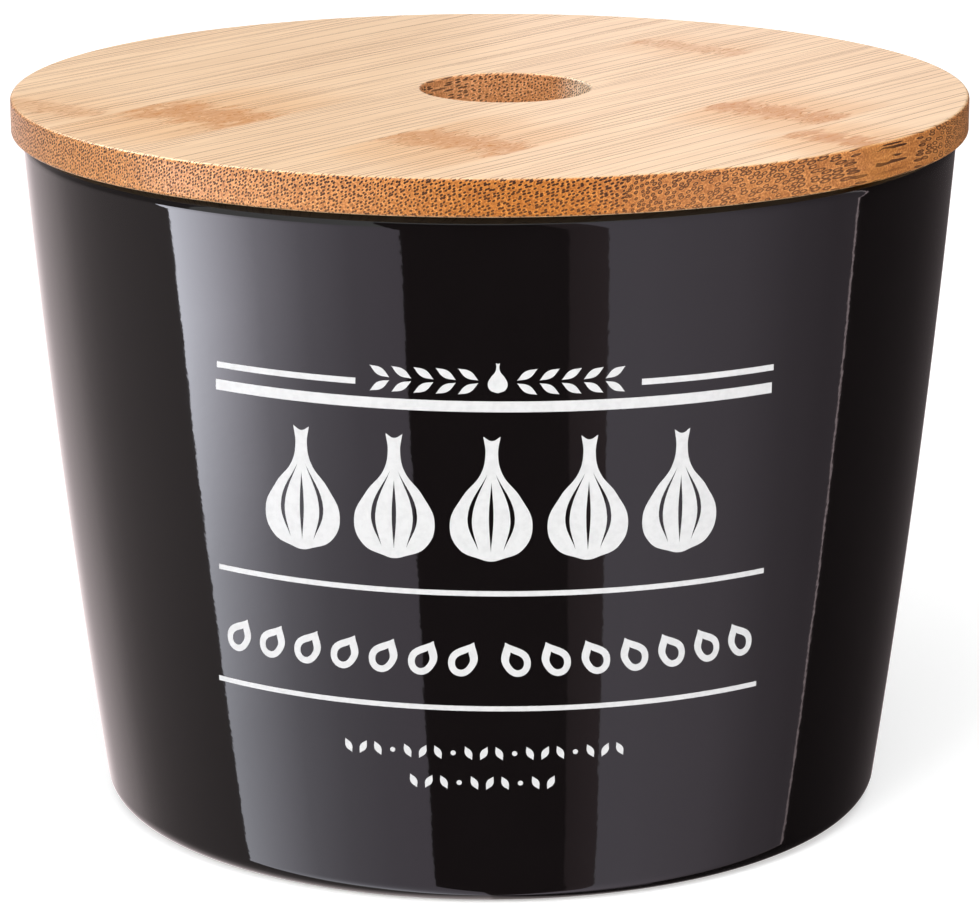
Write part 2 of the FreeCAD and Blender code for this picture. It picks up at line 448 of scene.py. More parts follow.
# %% One garlic bulb and one clove
BULB_SIDE = [
    (0.0, 0.0, SOFT),
    (1.5, 0.35, SOFT),
    (4.35, 1.75, SOFT),
    (5.6, 5.3, SOFT),
    (3.9, 9.3, SOFT),
    (1.45, 12.6, SOFT),
    (0.85, 15.4, SOFT),
    (1.15, 17.9, SHARP),
]
BULB = BULB_SIDE + [(0.0, 17.3, SOFT)] + mirrored(BULB_SIDE)[:-1]
SEAM_WIDTH = 0.62
BULB_SEAMS = [
    curved_stroke((0.55, 12.6), (2.9, 6.2), (1.7, 1.5), SEAM_WIDTH),
    curved_stroke((-1.7, 1.5), (-2.9, 6.2), (-0.55, 12.6), SEAM_WIDTH),
    leaf((0.0, 11.4), (0.0, 1.3), SEAM_WIDTH),
]
CLOVE = [(0.45, 2.7, SHARP), (1.75, 0.0, SOFT), (0.1, -2.3, SOFT), (-1.75, -0.45, SOFT)]
CLOVE_HEART = [(0.25, 1.25, SHARP), (0.86, -0.15, SOFT), (0.0, -1.42, SOFT), (-0.88, -0.42, SOFT)]
print("one bulb has", len(BULB), "points and", len(BULB_SEAMS), "seams")

# %% The rows of bulbs and cloves
BULB_ROW_UP = 51.9
BULB_PITCH = 13.25
CLOVE_ROW_UP = 37.4
CLOVE_PITCH = 5.55
CLOVE_SIZE = 1.1
CLOVE_GROUPS = [(-20.3, -0.35), (20.2, 0.35)]


def bulb_row():
    """Five garlic bulbs side by side, their seams left open."""
    return [
        moved(outline, BULB_PITCH * place, BULB_ROW_UP)
        for place in range(-2, 3)
        for outline in (BULB, *BULB_SEAMS)
    ]


def clove_row():
    """Two groups of seven cloves, drawn as outlines, the groups leaning towards each other."""
    shapes = []
    for middle, lean in CLOVE_GROUPS:
        for place in range(-3, 4):
            across = middle + CLOVE_PITCH * place
            for outline in (CLOVE, CLOVE_HEART):
                shape = outline if lean < 0 else mirrored(outline)
                shapes.append(moved(shape, across, CLOVE_ROW_UP, CLOVE_SIZE, lean))
    return shapes


print("outlines of bulbs and cloves", len(bulb_row()) + len(clove_row()))

# %% The sprig and the leaf lines
SPRIG_MIDDLE = 0.7
SPRIG_BULB_UP = 76.0
SPRIG_BULB_SIZE = 0.235
SPRIG_LEAF_WIDTH = 1.05
LEAF_LINES = [(19, -0.7, 23.4), (10, -0.9, 18.9)]
LEAF_PITCH = 2.12
LEAF_WIDTH = 0.95
DOT_RADIUS = 0.36


def sprig():
    """A small bulb in the middle of a leafy stem."""
    shapes = [moved(BULB, SPRIG_MIDDLE, SPRIG_BULB_UP, SPRIG_BULB_SIZE)]
    for side in (-1.0, 1.0):
        for place in range(5):
            root = SPRIG_MIDDLE + side * (2.6 + 3.0 * place)
            tip = root + side * 2.7
            for root_up, tip_up in ((77.75, 79.35), (77.35, 75.75)):
                shapes.append(leaf((root, root_up), (tip, tip_up), SPRIG_LEAF_WIDTH))
    return shapes


def leaf_lines():
    """Two short lines of small tilted leaves, with a dot after every third."""
    shapes = []
    for count, middle, up in LEAF_LINES:
        for place in range(count):
            across = middle + (place - (count - 1) / 2.0) * LEAF_PITCH
            if place % 4 == 3:
                shapes.append(round_dot(across, up, DOT_RADIUS))
                continue
            lean = 0.5 if place % 2 else -0.5
            shapes.append(leaf((across - lean, up - 1.0), (across + lean, up + 1.0), LEAF_WIDTH))
    return shapes


print("outlines of the sprig and the leaf lines", len(sprig()) + len(leaf_lines()))

# %% The rules: left end, right end, height and thickness
RULES = [
    (-39.7, -18.6, 76.95, 0.85),
    (20.4, 40.9, 76.95, 0.85),
    (-39.95, 40.7, 74.05, 1.52),
    (-40.2, 40.6, 47.2, 0.76),
    (-40.8, 40.1, 30.15, 0.74),
]


def rule_shapes():
    """Each rule as a long rectangle."""
    shapes = []
    for left, right, up, thick in RULES:
        low = up - thick / 2.0
        high = up + thick / 2.0
        corners = ((left, low), (right, low), (right, high), (left, high))
        shapes.append([(*corner, SHARP) for corner in corners])
    return shapes


print("rules", len(rule_shapes()))


# %% Fill the drawing
def filled(shapes):
    """A flat bmesh of the filled outlines. Outlines inside others become holes."""
    curve = bpy.data.curves.new("drawing", "CURVE")
    curve.dimensions = "2D"
    curve.fill_mode = "BOTH"
    curve.resolution_u = 8
    for shape in shapes:
        spline = curve.splines.new("BEZIER")
        spline.bezier_points.add(len(shape) - 1)
        for point, (x, y, corner) in zip(spline.bezier_points, shape):
            point.co = (x, y, 0.0)
            point.handle_left_type = corner
            point.handle_right_type = corner
        spline.use_cyclic_u = True
    drawing = bpy.data.objects.new("drawing", curve)
    data = bpy.data.meshes.new_from_object(drawing)
    flat = bmesh.new()
    flat.from_mesh(data)
    bpy.data.objects.remove(drawing)
    bpy.data.curves.remove(curve)
    bpy.data.meshes.remove(data)
    bmesh.ops.remove_doubles(flat, verts=flat.verts, dist=SAME_POINT)
    return flat


# %% Bend the film and lay it on the glaze
PRINT_TURN = math.radians(-0.6)
PRINT_CENTRE = Vector((0.1, 49.0, 0.0))
PRINT_UNDER = -0.03
PRINT_OVER = 0.05
FILM_STRIP = 0.8


def cut_into_strips(film):
    """Cuts a flat film upright into narrow strips."""
    left = min(vert.co.x for vert in film.verts)
    right = max(vert.co.x for vert in film.verts)
    first, last = math.ceil(left / FILM_STRIP), math.floor(right / FILM_STRIP)
    for number in range(first, last + 1):
        bmesh.ops.bisect_plane(
            film,
            geom=film.verts[:] + film.edges[:] + film.faces[:],
            dist=1e-6,
            plane_co=(number * FILM_STRIP, 0.0, 0.0),
            plane_no=(1.0, 0.0, 0.0),
        )


def lay_print(name, shapes):
    """Wraps the filled outlines round the front of the pot as a thin closed film."""
    film = filled(shapes)
    turn = Matrix.Rotation(PRINT_TURN, 3, "Z")
    bmesh.ops.rotate(film, verts=film.verts, cent=PRINT_CENTRE, matrix=turn)
    cut_into_strips(film)
    bmesh.ops.translate(film, verts=film.verts, vec=(0.0, 0.0, PRINT_UNDER))
    grown = bmesh.ops.extrude_face_region(film, geom=film.faces[:])["geom"]
    upper = [item for item in grown if isinstance(item, bmesh.types.BMVert)]
    bmesh.ops.translate(film, verts=upper, vec=(0.0, 0.0, PRINT_OVER - PRINT_UNDER))
    for vert in film.verts:
        across, height, off = vert.co
        radius = wall_radius(height)
        angle = across / radius
        vert.co = (
            (radius + off) * math.sin(angle),
            -(radius + off) * math.cos(angle),
            height,
        )
    return finish_piece(name, film, "pot", smooth=False)


print_pieces = [
    lay_print("print_rules", rule_shapes()),
    lay_print("print_garlic_bulbs", bulb_row()),
    lay_print("print_clove_row", clove_row()),
    lay_print("print_sprig", sprig()),
    lay_print("print_leaf_lines", leaf_lines()),
]

# %% [markdown]
# ## A few short words for building materials
#
# A material is a tree of nodes. These helpers add a node and connect what is given to it: a
# number stays on the socket, and another node's output is linked. They keep the recipes below
# readable.


# %% One node of any kind
def add(tree, kind, links=(), **settings):
    """Adds a node, sets its options and fills the inputs given as (socket, number or output)."""
    node = tree.nodes.new(kind)
    for option, value in settings.items():
        setattr(node, option, value)
    for socket, value in links:
        if isinstance(value, bpy.types.NodeSocket):
            tree.links.new(value, node.inputs[socket])
        else:
            node.inputs[socket].default_value = value
    return node


# %% Arithmetic
def sums(tree, operation, first, second=0.0, third=0.0, clamp=False):
    """One Math node."""
    links = ((0, first), (1, second), (2, third))
    return add(tree, "ShaderNodeMath", links, operation=operation, use_clamp=clamp).outputs[0]


def product(tree, first, *others):
    """All the values multiplied together, one Math node after another."""
    for other in others:
        first = sums(tree, "MULTIPLY", first, other)
    return first


def ramp(tree, value, low, high, to_low=0.0, to_high=1.0):
    """A smooth step from one number to another."""
    links = (
        ("Value", value),
        ("From Min", low),
        ("From Max", high),
        ("To Min", to_low),
        ("To Max", to_high),
    )
    node = add(tree, "ShaderNodeMapRange", links, interpolation_type="SMOOTHSTEP")
    return node.outputs["Result"]


def blend(tree, amount, first, second, kind="MIX"):
    """One Mix node on colours."""
    links = ((0, amount), (6, first), (7, second))
    return add(tree, "ShaderNodeMix", links, data_type="RGBA", blend_type=kind).outputs[2]


# %% Vectors, noise and bump
def vectors(tree, operation, first, second):
    """One Vector Math node on two vectors."""
    links = ((0, first), (1, second))
    return add(tree, "ShaderNodeVectorMath", links, operation=operation).outputs[0]


def distance(tree, vector):
    """How long a vector is."""
    node = add(tree, "ShaderNodeVectorMath", ((0, vector),), operation="LENGTH")
    return node.outputs["Value"]


def axes_of(tree, vector):
    """The X, Y and Z of a vector, by name."""
    return add(tree, "ShaderNodeSeparateXYZ", ((0, vector),)).outputs


def stretched(tree, vector, size):
    """Coordinates divided by a size along each axis, so that a pattern has that size."""
    return vectors(tree, "MULTIPLY", vector, tuple(1.0 / length for length in size))


def cloud(tree, vector, detail, roughness=0.5, output="Fac"):
    """Soft noise that is one unit large."""
    links = (("Vector", vector), ("Scale", 1.0), ("Detail", detail), ("Roughness", roughness))
    return add(tree, "ShaderNodeTexNoise", links).outputs[output]


def bumped(tree, height, strength, reach):
    """Which way the surface faces once a height pattern has bent it."""
    links = (("Height", height), ("Strength", strength), ("Distance", reach))
    return add(tree, "ShaderNodeBump", links).outputs["Normal"]


def millimetres(tree):
    """The piece's own coordinates, in millimetres."""
    place = add(tree, "ShaderNodeTexCoord").outputs["Object"]
    links = ((0, place), (3, 1.0 / MM))
    return add(tree, "ShaderNodeVectorMath", links, operation="SCALE").outputs[0]


# %% Materials and groups
FLOAT = "NodeSocketFloat"
COLOUR = "NodeSocketColor"


def new_material(name):
    """An empty material, its tree and its output node."""
    material = bpy.data.materials.new(name)
    material.use_nodes = True
    material.node_tree.nodes.clear()
    return material, material.node_tree, add(material.node_tree, "ShaderNodeOutputMaterial")


def lay_shader(tree, out, kind, links):
    """Adds the shader itself, and links it to the output."""
    shader = add(tree, kind, links)
    tree.links.new(shader.outputs[0], out.inputs["Surface"])


def new_group(name, inputs, outputs):
    """A node group with named sockets: its tree, its inside input and its inside output."""
    group = bpy.data.node_groups.new(name, "ShaderNodeTree")
    for label, kind, value in inputs:
        socket = group.interface.new_socket(label, in_out="INPUT", socket_type=kind)
        socket.default_value = value
    for label, kind in outputs:
        group.interface.new_socket(label, in_out="OUTPUT", socket_type=kind)
    return group, add(group, "NodeGroupInput").outputs, add(group, "NodeGroupOutput").inputs


def put_group(tree, group, **values):
    """Places a group in a material with its own values, and returns its outputs."""
    node = add(tree, "ShaderNodeGroup", node_tree=group)
    for label, value in values.items():
        node.inputs[label].default_value = value
    return node.outputs


def dress(material, *pieces):
    """Gives pieces this material alone."""
    for piece in pieces:
        piece.data.materials.clear()
        piece.data.materials.append(material)
    print(material.name, "on", [piece.name for piece in pieces])


# %% [markdown]
# ## The glaze's surface
#
# Glaze melts over the clay, so its surface is very smooth but never quite true: slow waves a few
# centimetres long from the wheel and the pour, and a faint orange peel. Both only bend the
# reflections. The print was fired on the same surface, so it shares this group.

# %% The glaze surface group
WAVE_SIZE = (26.0, 26.0, 16.0)
PEEL_SIZE = (1.9, 1.9, 1.7)
PEEL_SHARE = 0.012

glaze_skin, given, result = new_group(
    "glaze_skin",
    [("Waves", FLOAT, 1.0), ("Peel", FLOAT, 1.0)],
    [("Height", FLOAT)],
)
place = millimetres(glaze_skin)
waves = cloud(glaze_skin, stretched(glaze_skin, place, WAVE_SIZE), 1.0)
waves = product(glaze_skin, waves, given["Waves"])
peel = cloud(glaze_skin, stretched(glaze_skin, place, PEEL_SIZE), 2.0, 0.7)
peel = product(glaze_skin, peel, given["Peel"])
height = sums(glaze_skin, "MULTIPLY_ADD", peel, PEEL_SHARE, waves)
glaze_skin.links.new(height, result["Height"])
print("the orange peel is", PEEL_SIZE[0], "mm large")

# %% [markdown]
# ## Black glaze and dry foot
#
# The glaze is nearly black, with a clear glossy surface like glass. The potter wipes it off the
# foot ring, so that the pot doesn't stick to the kiln shelf, and there the pale, dry clay shows.
# One shader does both: a mask by height swaps the colour and the roughness, with a slightly
# ragged line.

# %% Where the clay is dry, and the two colours
CLAY_DARK = (0.42, 0.37, 0.31, 1.0)
CLAY_PALE = (0.56, 0.51, 0.45, 1.0)
BLACK_DEEP = (0.0024, 0.0018, 0.0018, 1.0)
BLACK_THIN = (0.0038, 0.0030, 0.0031, 1.0)

glaze, tree, out = new_material("black_glaze_on_stoneware")
place = millimetres(tree)
ragged = cloud(tree, stretched(tree, place, (3.0, 3.0, 3.0)), 3.0)
glaze_line = sums(tree, "MULTIPLY_ADD", ragged, 0.35, 0.22)
below_line = sums(tree, "SUBTRACT", glaze_line, axes_of(tree, place)["Z"])
dry = ramp(tree, below_line, -0.06, 0.06)
speckle = cloud(tree, stretched(tree, place, (0.5, 0.5, 0.5)), 3.0, 0.7)
clay = blend(tree, ramp(tree, speckle, 0.35, 0.70), CLAY_DARK, CLAY_PALE)
depth = cloud(tree, stretched(tree, place, (9.0, 9.0, 9.0)), 3.0)
black = blend(tree, depth, BLACK_DEEP, BLACK_THIN)
print("the glaze is", BLACK_DEEP[:3], "to", BLACK_THIN[:3])

# %% The glaze's shader
GLAZE_ROUGHNESS = 0.035
CLAY_ROUGHNESS = 0.9
GLAZE_WAVES = 0.10
GLAZE_RELIEF = 0.0004

skin = put_group(tree, glaze_skin, Waves=GLAZE_WAVES, Peel=1.0)
relief = blend(tree, dry, skin["Height"], speckle)
lay_shader(
    tree,
    out,
    "ShaderNodeBsdfPrincipled",
    [
        ("Base Color", blend(tree, dry, black, clay)),
        ("Roughness", ramp(tree, dry, 0.0, 1.0, GLAZE_ROUGHNESS, CLAY_ROUGHNESS)),
        ("Normal", bumped(tree, relief, 1.0, GLAZE_RELIEF)),
        ("IOR", 1.5),
    ],
)
dress(glaze, pot)

# %% [markdown]
# ## White print
#
# The transfer is a soft white enamel, a little less glossy than the glaze, with a very slight
# unevenness where the ink is thinner and the black shows through.

# %% The print material
INK_THIN = (0.68, 0.68, 0.68, 1.0)
INK_FULL = (0.74, 0.74, 0.74, 1.0)

enamel, tree, out = new_material("white_fired_print")
thin = cloud(tree, stretched(tree, millimetres(tree), (1.1, 1.1, 1.1)), 4.0, 0.6)
skin = put_group(tree, glaze_skin, Waves=GLAZE_WAVES, Peel=1.0)
lay_shader(
    tree,
    out,
    "ShaderNodeBsdfPrincipled",
    [
        ("Base Color", blend(tree, ramp(tree, thin, 0.30, 0.62), INK_THIN, INK_FULL)),
        ("Roughness", ramp(tree, thin, 0.3, 0.7, 0.42, 0.30)),
        ("Normal", bumped(tree, skin["Height"], 1.0, GLAZE_RELIEF)),
        ("IOR", 1.5),
    ],
)
dress(enamel, *print_pieces)

# %% [markdown]
# ## Laminated bamboo
#
# Bamboo board is glued from strips about 20 mm wide. Along a strip run bundles of dark fibre,
# each about four tenths of a millimetre thick. Cut across, on the lid's edge, they are dots,
# denser towards the top. Cut lengthwise, on the face and where the edge runs with the grain, the
# same bundles are long streaks. So the pattern is one solid block of bundles, not a picture for
# each face: the lid is turned from it. Where the stem had a knuckle, the fibres wander and turn
# orange-brown in flames. All of it is one group, so that both boards can use it with their own
# turn and heights.

# %% The grain's own directions
FIBRE_TURN = math.radians(52.0)

bamboo, given, result = new_group(
    "laminated_bamboo",
    [("Turn", FLOAT, 0.0), ("Low", FLOAT, BOARD_LOW), ("High", FLOAT, BOARD_HIGH)],
    [("Colour", COLOUR), ("Bundles", FLOAT), ("Relief", FLOAT)],
)
angle = sums(bamboo, "SUBTRACT", given["Turn"], FIBRE_TURN)


def to_grain(vector):
    """The same vector, turned so that its X runs along the fibres."""
    links = [("Vector", vector), ("Angle", angle)]
    return add(bamboo, "ShaderNodeVectorRotate", links, rotation_type="Z_AXIS").outputs[0]


place = millimetres(bamboo)
grain = to_grain(place)
grain_axes = axes_of(bamboo, grain)
along, across, upright = grain_axes["X"], grain_axes["Y"], grain_axes["Z"]
print("the fibres run", round(math.degrees(FIBRE_TURN)), "degrees round from the X axis")

# %% Strips: numbered across the board, each with its own random number
STRIP_WIDTH = 21.3
STRIP_START = 8.2
STRIP_HALF = STRIP_WIDTH / 2.0
COARSE_BELOW = -3.5

from_start = sums(bamboo, "SUBTRACT", across, STRIP_START)
strip = sums(bamboo, "FLOOR", sums(bamboo, "DIVIDE", from_start, STRIP_WIDTH))
strip_seed = [("W", sums(bamboo, "ADD", strip, given["Turn"]))]
white_noise = add(bamboo, "ShaderNodeTexWhiteNoise", strip_seed, noise_dimensions="1D")
strip_random = white_noise.outputs["Value"]
coarse = sums(bamboo, "LESS_THAN", strip, COARSE_BELOW)
print("bamboo strips are", STRIP_WIDTH, "mm wide")

# %% Knuckles: where each is along its strip, the strip's number, its half length and its strength
KNUCKLES = [
    (-43.0, 0, 7.5, 0.9),
    (-37.0, -2, 6.0, 0.9),
    (47.0, -1, 3.2, 0.55),
    (8.5, -3, 4.8, 1.0),
    (-3.5, -4, 4.0, 1.0),
    (-52.0, 1, 4.0, 0.45),
]
WOBBLE = 2.6
END_SQUARENESS = 16.0

wobble = cloud(bamboo, stretched(bamboo, grain, (9.0, 1.1, 1.1)), 3.0, 0.55)
wobble = sums(bamboo, "MULTIPLY_ADD", wobble, WOBBLE, -WOBBLE / 2.0)


def knuckle(middle_along, strip_number, half_length, strength):
    """Two soft masks of one knuckle: the knuckle itself, and the warm wood around it."""
    middle_across = STRIP_START + STRIP_WIDTH * strip_number + STRIP_HALF
    off_along = sums(bamboo, "SUBTRACT", along, middle_along)
    off_along = sums(bamboo, "DIVIDE", off_along, half_length)
    off_across = sums(bamboo, "SUBTRACT", across, middle_across)
    off_across = sums(bamboo, "ABSOLUTE", sums(bamboo, "DIVIDE", off_across, STRIP_HALF))
    far = sums(bamboo, "POWER", off_across, END_SQUARENESS)
    near_along = sums(bamboo, "ADD", off_along, wobble)
    near = sums(bamboo, "MULTIPLY_ADD", near_along, near_along, far)
    wide_along = product(bamboo, off_along, 0.3)
    wide = sums(bamboo, "MULTIPLY_ADD", wide_along, wide_along, far)
    return ramp(bamboo, near, 1.5, 0.0, 0.0, strength), ramp(bamboo, wide, 1.4, 0.0, 0.0, strength)


knots = 0.0
warm_wood = 0.0
for spot in KNUCKLES:
    narrow_mask, wide_mask = knuckle(*spot)
    knots = sums(bamboo, "MAXIMUM", knots, narrow_mask)
    warm_wood = sums(bamboo, "MAXIMUM", warm_wood, wide_mask)
print("knuckles", len(KNUCKLES))

# %% Wandering fibres: a slow drift everywhere, and tight curls at the knuckles
HALF = (0.5, 0.5, 0.5)
DRIFT_REACH = (1.4, 1.4, 0.35)
CURL_REACH = 3.4

drift = cloud(bamboo, stretched(bamboo, grain, (48.0, 9.0, 9.0)), 1.0, 0.5, "Color")
drift = vectors(bamboo, "MULTIPLY", vectors(bamboo, "SUBTRACT", drift, HALF), DRIFT_REACH)
curl = cloud(bamboo, stretched(bamboo, grain, (5.0, 2.6, 2.6)), 2.0, 0.6, "Color")
curl_size = product(bamboo, knots, sums(bamboo, "MULTIPLY_ADD", coarse, -1.2, CURL_REACH))
curl_across = product(bamboo, curl_size, sums(bamboo, "MULTIPLY_ADD", coarse, -0.8, 1.0))
curl_links = [(0, curl_size), (1, curl_across), (2, curl_size)]
curl_reach = add(bamboo, "ShaderNodeCombineXYZ", curl_links).outputs[0]
curl = vectors(bamboo, "MULTIPLY", vectors(bamboo, "SUBTRACT", curl, HALF), curl_reach)
bent = vectors(bamboo, "ADD", grain, vectors(bamboo, "ADD", drift, curl))
print("fibres wander by up to", DRIFT_REACH[1] / 2.0, "mm, at a knuckle by", CURL_REACH / 2.0, "mm")

# %% Bundles of fibre: one Voronoi cell for each, and no bundle in a few of them
BUNDLE_STEP_ACROSS = 0.50
BUNDLE_STEP_UP = 0.47
BUNDLE_STAGGER = 0.45
COARSER_BY = 0.16

bent_axes = axes_of(bamboo, bent)
step_up = sums(bamboo, "MULTIPLY_ADD", coarse, COARSER_BY, BUNDLE_STEP_UP)
cell_across = sums(bamboo, "DIVIDE", bent_axes["Y"], BUNDLE_STEP_ACROSS)
cell_across = sums(bamboo, "MULTIPLY_ADD", strip_random, 40.0, cell_across)
cell_up = sums(bamboo, "DIVIDE", bent_axes["Z"], step_up)
cell_up = sums(bamboo, "MULTIPLY_ADD", cell_across, BUNDLE_STAGGER, cell_up)
cell = add(bamboo, "ShaderNodeCombineXYZ", [(0, cell_across), (1, cell_up)]).outputs[0]
cells = add(
    bamboo,
    "ShaderNodeTexVoronoi",
    [("Vector", cell), ("Scale", 1.0), ("Randomness", 0.62)],
    voronoi_dimensions="2D",
    feature="F1",
).outputs
off_bundle = cells["Distance"]
chance = add(bamboo, "ShaderNodeSeparateColor", [(0, cells["Color"])]).outputs
height_share = ramp(bamboo, upright, given["Low"], given["High"])
keep_share = sums(bamboo, "MULTIPLY_ADD", height_share, 0.10, 0.85)
keep_end = sums(bamboo, "ADD", keep_share, 0.05)
kept = ramp(bamboo, chance["Red"], keep_share, keep_end, 1.0, 0.0)
print("one bundle in", BUNDLE_STEP_ACROSS, "by", BUNDLE_STEP_UP, "mm")

# %% [markdown]
# ## Face, edge and hole
#
# The same block looks different where the saw went another way, so the group asks which way the
# surface faces: up on the faces, and along the grain or across it on the edge and in the hole.
# The last strip on the right has thick bundles, which look like little rings, because their
# middle is as pale as the wood around them.

# %% Which way the surface faces
normal = add(bamboo, "ShaderNodeTexCoord").outputs["Normal"]
facing = axes_of(bamboo, to_grain(normal))
facing_up = sums(bamboo, "ABSOLUTE", facing["Z"])
end_grain = sums(bamboo, "ABSOLUTE", facing["X"])
on_face = ramp(bamboo, facing_up, 0.55, 0.95)
on_edge = ramp(bamboo, on_face, 0.0, 1.0, 1.0, 0.0)
# Painted highlight: the rounded corners between face and edge are painted a little lighter, as if
# they caught the light.
eased_from = ramp(bamboo, facing_up, 0.05, 0.4)
eased_highlight = product(bamboo, eased_from, ramp(bamboo, facing_up, 0.98, 0.7))
from_middle = add(bamboo, "ShaderNodeCombineXYZ", [(0, along), (1, across)]).outputs[0]
in_hole = ramp(bamboo, distance(bamboo, from_middle), 20.0, 16.0)
hollow = product(
    bamboo,
    coarse,
    ramp(bamboo, end_grain, 0.06, 0.2),
    ramp(bamboo, along, -44.0, -28.0, 0.35, 1.0),
)
print("masks: face, edge, eased corner, hole and hollow bundles")

# %% Each bundle as a dot, a ring or a streak, with a pale halo
BUNDLE_RADIUS = 0.34
BUNDLE_CORE = 0.76
HALO_REACH = 1.7

bundle_radius = product(
    bamboo,
    sums(bamboo, "MULTIPLY_ADD", chance["Green"], 0.10, BUNDLE_RADIUS),
    ramp(bamboo, on_face, 0.0, 1.0, 1.0, 0.72),
    ramp(bamboo, in_hole, 0.0, 1.0, 1.0, 0.9),
    ramp(bamboo, end_grain, 0.0, 0.3, 0.82, 1.0),
    sums(bamboo, "MULTIPLY_ADD", hollow, 0.2, 1.0),
)
bundle_core = product(bamboo, bundle_radius, BUNDLE_CORE)
in_bundle = ramp(bamboo, off_bundle, bundle_radius, bundle_core)
in_core = product(bamboo, ramp(bamboo, off_bundle, bundle_core, 0.05), hollow)
ring = sums(bamboo, "SUBTRACT", in_bundle, product(bamboo, in_core, 1.2), clamp=True)
bundles = product(bamboo, ring, kept, sums(bamboo, "MULTIPLY_ADD", height_share, 0.2, 0.8))
halo = ramp(bamboo, off_bundle, product(bamboo, bundle_radius, HALO_REACH), bundle_radius)
halo = product(bamboo, sums(bamboo, "SUBTRACT", halo, in_bundle, clamp=True), kept)
halo = sums(bamboo, "MAXIMUM", halo, product(bamboo, in_core, kept))
print("a bundle is", round(2.0 * BUNDLE_RADIUS * BUNDLE_STEP_ACROSS, 2), "mm thick or more")

# %% Colours of the plain wood: cream faces, an orange edge with painted shade towards its front right, and a hole painted lighter, with a painted highlight at its right end
CREAM = (0.825, 0.565, 0.325, 1.0)
WARM_CREAM = (0.745, 0.430, 0.180, 1.0)
EDGE_ORANGE = (0.610, 0.257, 0.084, 1.0)
EDGE_PAINTED_SHADE = (0.490, 0.163, 0.026, 1.0)
EDGE_LAST = (0.470, 0.172, 0.042, 1.0)
HOLE_WOOD_PAINTED_LIGHT = (0.645, 0.282, 0.109, 1.0)
HOLE_PAINTED_HIGHLIGHT = (0.960, 0.720, 0.500, 1.0)

# Painted shade: the edge is painted darker, and a deeper orange, towards its front right.
edge = blend(bamboo, ramp(bamboo, across, -12.0, -48.0), EDGE_ORANGE, EDGE_PAINTED_SHADE)
edge = blend(bamboo, ramp(bamboo, across, -50.0, -62.0), edge, EDGE_LAST)
# Painted light: the wood in the hole is painted lighter than the edge, and paler still towards the
# hole's right end as a painted highlight.
painted_highlight_end = ramp(bamboo, axes_of(bamboo, place)["X"], 9.2, 14.4)
edge = blend(bamboo, in_hole, edge, blend(bamboo, painted_highlight_end, HOLE_WOOD_PAINTED_LIGHT, HOLE_PAINTED_HIGHLIGHT))
cream = blend(bamboo, product(bamboo, warm_wood, 0.9), CREAM, WARM_CREAM)
wood = blend(bamboo, on_face, edge, cream)
print("cream", CREAM[:3], "edge", EDGE_ORANGE[:3])

# %% Lighter and darker wood: strips, fine and broad streaks, halos and specks, and a painted highlight on the rounded corners
SPECK_SIZE = (0.30, 0.30, 0.30)
SPECK_STRENGTH = 1.6

fine = cloud(bamboo, stretched(bamboo, bent, (16.0, 0.45, 0.45)), 2.0, 0.6)
broad = cloud(bamboo, stretched(bamboo, bent, (55.0, 3.5, 3.5)), 2.0, 0.5)
halo_strength = ramp(bamboo, on_face, 0.0, 1.0, 0.28, 0.06)
specks = cloud(bamboo, stretched(bamboo, grain, SPECK_SIZE), 1.0)
specks = sums(bamboo, "MULTIPLY_ADD", specks, SPECK_STRENGTH, -SPECK_STRENGTH / 2.0)
tone = product(
    bamboo,
    sums(bamboo, "MULTIPLY_ADD", strip_random, 0.05, 0.975),
    ramp(bamboo, fine, 0.3, 0.7, 0.91, 1.05),
    ramp(bamboo, broad, 0.3, 0.7, 0.96, 1.03),
    sums(bamboo, "MULTIPLY_ADD", halo, halo_strength, 1.0),
    # painted highlight on the rounded corners
    sums(bamboo, "MULTIPLY_ADD", eased_highlight, 0.06, 1.0),
    sums(bamboo, "ADD", product(bamboo, specks, on_edge), 1.0),
)
tone_links = [
    (0, tone),
    (1, sums(bamboo, "POWER", tone, 1.35)),
    (2, sums(bamboo, "POWER", tone, 1.8)),
]
toned = add(bamboo, "ShaderNodeCombineColor", tone_links).outputs[0]
tinted = blend(bamboo, 1.0, wood, toned, "MULTIPLY")
print("specks are", SPECK_SIZE[0], "mm large")

# %% Dark fibres and flames over the wood, and what the group gives
CUT_FIBRE = (0.028, 0.006, 0.001, 1.0)
LONG_FIBRE = (0.230, 0.085, 0.027, 1.0)
FLAME = (0.500, 0.185, 0.012, 1.0)

fibre_colour = blend(bamboo, on_face, CUT_FIBRE, LONG_FIBRE)
fibre_share = product(
    bamboo,
    ramp(bamboo, on_face, 0.0, 1.0, 0.97, 0.90),
    ramp(bamboo, in_hole, 0.0, 1.0, 1.0, 0.88),
)
fibred = blend(bamboo, product(bamboo, bundles, fibre_share), tinted, fibre_colour)
flame = cloud(bamboo, stretched(bamboo, bent, (6.0, 0.9, 0.9)), 3.0, 0.65)
flame_amount = product(
    bamboo,
    ramp(bamboo, flame, 0.31, 0.48),
    knots,
    ramp(bamboo, on_face, 0.0, 1.0, 0.2, 1.0),
)
bamboo.links.new(blend(bamboo, flame_amount, fibred, FLAME), result["Colour"])
bamboo.links.new(bundles, result["Bundles"])
bamboo.links.new(sums(bamboo, "MULTIPLY_ADD", bundles, -0.6, fine), result["Relief"])
print("bamboo group has", len(bamboo.nodes), "nodes")

# %% [markdown]
# ## The two bamboo boards
#
# Both boards use the same block of bamboo, oiled to a soft sheen. The lower one is turned by a
# quarter, as boards are when they are glued crosswise against warping.

# %% Bamboo materials
WOOD_ROUGHNESS = 0.30
FIBRE_ROUGHNESS = 0.50
WOOD_RELIEF = 0.00004
QUARTER_TURN = math.pi / 2.0


